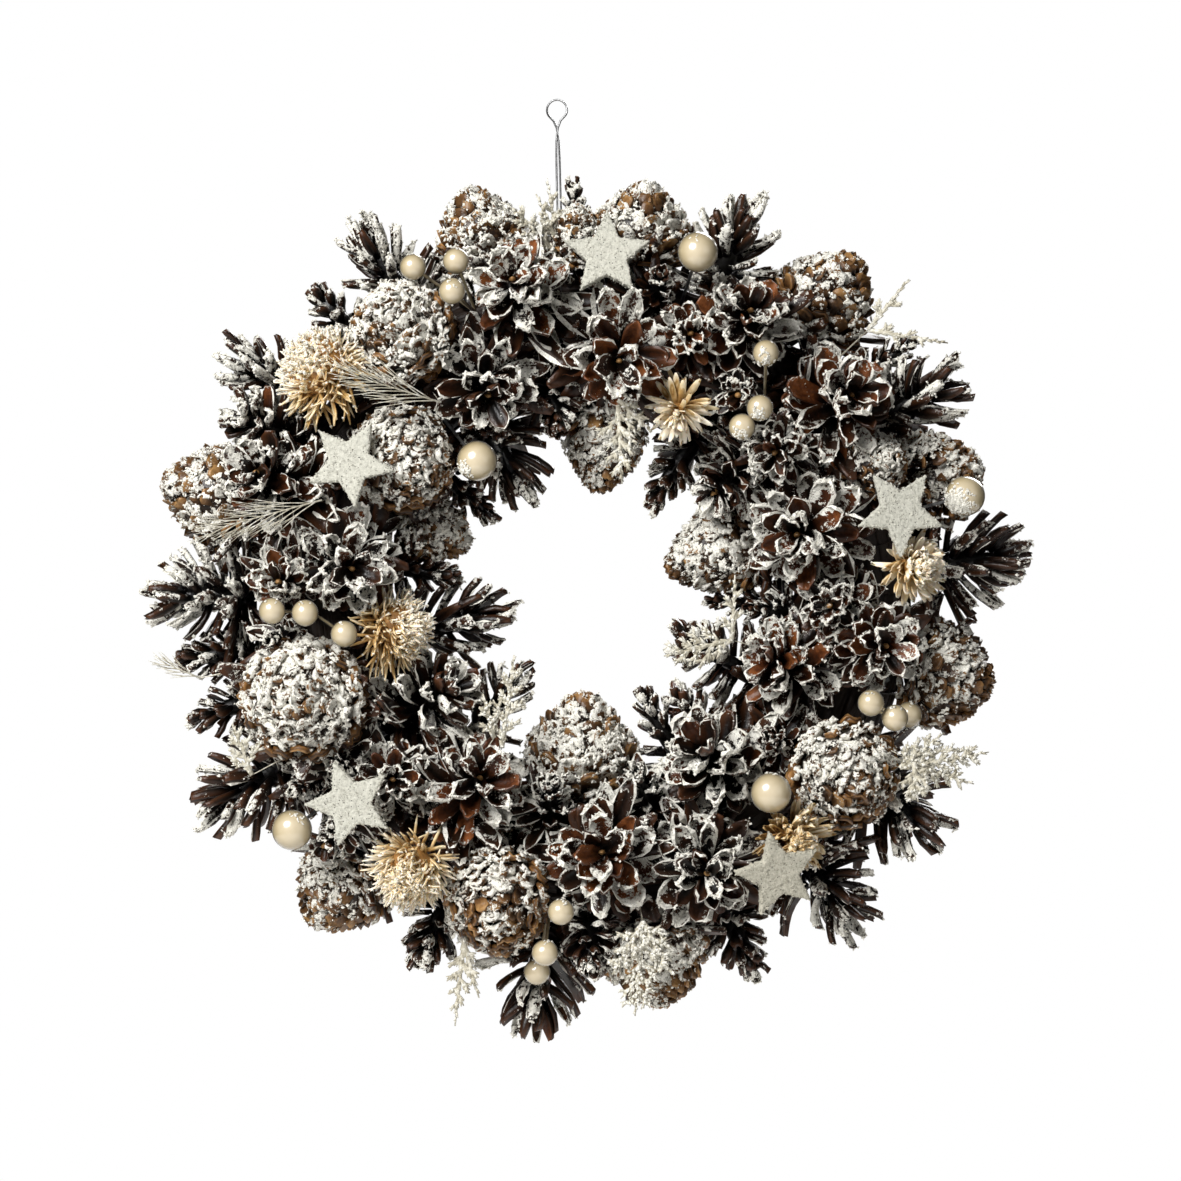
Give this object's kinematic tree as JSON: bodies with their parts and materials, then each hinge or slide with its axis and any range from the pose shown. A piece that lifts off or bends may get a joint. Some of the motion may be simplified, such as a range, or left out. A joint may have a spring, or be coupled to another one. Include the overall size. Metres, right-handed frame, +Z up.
{
  "type": "pinecone wreath",
  "caption": "Round snowy wreath of pine cones, dried flowers, pearls, stars and bleached sprigs on a flat-backed straw ring, hung by a wire eye.",
  "frame": {"origin": "inner top of the wire eye, where the wreath hangs on a nail", "axes": "+Z up, +Y into the wall behind the flat back, seen from -Y"},
  "size_m": [0.3621, 0.092, 0.3903],
  "materials": {
    "straw": "matt bundled straw",
    "wire": "dull grey annealed wire",
    "cone_dark": "satin red-brown scales edged with snow",
    "cone_tan": "satin golden scales under lumps of snow",
    "dried_flower": "papery straw-coloured petals",
    "pearl": "cream pearl lacquer",
    "star": "speckled grey-white coating",
    "sprig": "bleached and frosted twig"
  },
  "bodies": {
    "root": {"straw_ring": "straw", "hanger_wire": "wire", "cones_top": "cone_tan", "cones_top_left": "cone_tan", "cones_eleven_inner": "cone_dark", "cones_twelve_face": "cone_dark", "cones_one": "cone_dark", "cone_one_outer": "cone_tan", "cones_two": "cone_dark", "cones_two_inner": "cone_dark", "cones_three_inner": "cone_tan", "cones_ten": "cone_tan", "cones_ten_outer": "cone_dark", "cones_nine_outer": "cone_dark", "cones_ten_inner": "cone_tan", "cones_nine": "cone_dark", "cones_eight_inner": "cone_dark", "cones_eight": "cone_dark", "cones_seven": "cone_dark", "cones_six_inner": "cone_tan", "cones_seven_outer": "cone_tan", "cones_six": "cone_dark", "cones_five": "cone_dark", "cones_five_inner": "cone_dark", "cones_four_outer": "cone_dark", "cones_four": "cone_dark", "cones_three": "cone_dark", "dried_flower_1": "dried_flower", "dried_flower_2": "dried_flower", "dried_flower_3": "dried_flower", "dried_flower_4": "dried_flower", "dried_flower_5": "dried_flower", "dried_flower_6": "dried_flower", "large_pearl_1": "pearl", "large_pearl_2": "pearl", "large_pearl_3": "pearl", "large_pearl_4": "pearl", "large_pearl_5": "pearl", "pearl_pick_1": "pearl", "pearl_pick_2": "pearl", "pearl_pick_3": "pearl", "pearl_pick_4": "pearl", "pearl_pick_5": "pearl", "star_1": "star", "star_2": "star", "star_3": "star", "star_4": "star", "star_5": "star", "cypress_top": "sprig", "cypress_one": "sprig", "cypress_twelve_inner": "sprig", "straw_ten": "sprig", "straw_nine": "sprig", "straw_nine_outer": "sprig", "cypress_eight": "sprig", "cypress_eight_inner": "sprig", "cypress_seven_outer": "sprig", "cypress_six_outer": "sprig", "cypress_four_outer": "sprig", "cypress_four_inner": "sprig"}
  },
  "joints": []
}
